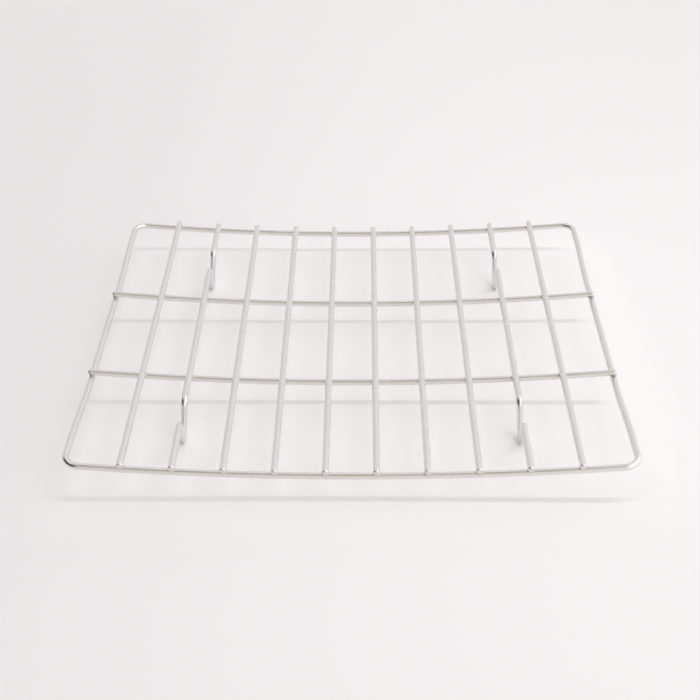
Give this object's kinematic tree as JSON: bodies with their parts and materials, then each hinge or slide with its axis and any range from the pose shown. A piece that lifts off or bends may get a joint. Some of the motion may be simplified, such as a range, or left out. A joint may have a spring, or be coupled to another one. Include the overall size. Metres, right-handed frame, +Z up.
{
  "type": "cooling rack",
  "caption": "Low rectangular cooling rack of bright welded wire: a rounded frame, a gently bowed deck of parallel wires on cross wires, and legs bent from the wires.",
  "frame": {"origin": "middle of the rack, on the surface that the leg tips stand on", "axes": "+X to the right along the rack's width, +Y from front to rear along the long wires, +Z up"},
  "size_m": [0.25, 0.2, 0.0205],
  "materials": {
    "frame_steel": "bright drawn stainless steel wire, electropolished, with fine draw lines along the wire",
    "cross_steel": "bright drawn stainless steel wire, electropolished, with fine draw lines along the wire",
    "long_steel": "bright drawn stainless steel wire, electropolished, with fine draw lines along the wire"
  },
  "bodies": {
    "root": {"frame_wire": "frame_steel", "front_cross_wire": "cross_steel", "rear_cross_wire": "cross_steel", "long_wire_1": "long_steel", "left_leg_wire": "long_steel", "long_wire_3": "long_steel", "long_wire_4": "long_steel", "long_wire_5": "long_steel", "long_wire_6": "long_steel", "long_wire_7": "long_steel", "long_wire_8": "long_steel", "right_leg_wire": "long_steel", "long_wire_10": "long_steel"}
  },
  "joints": []
}
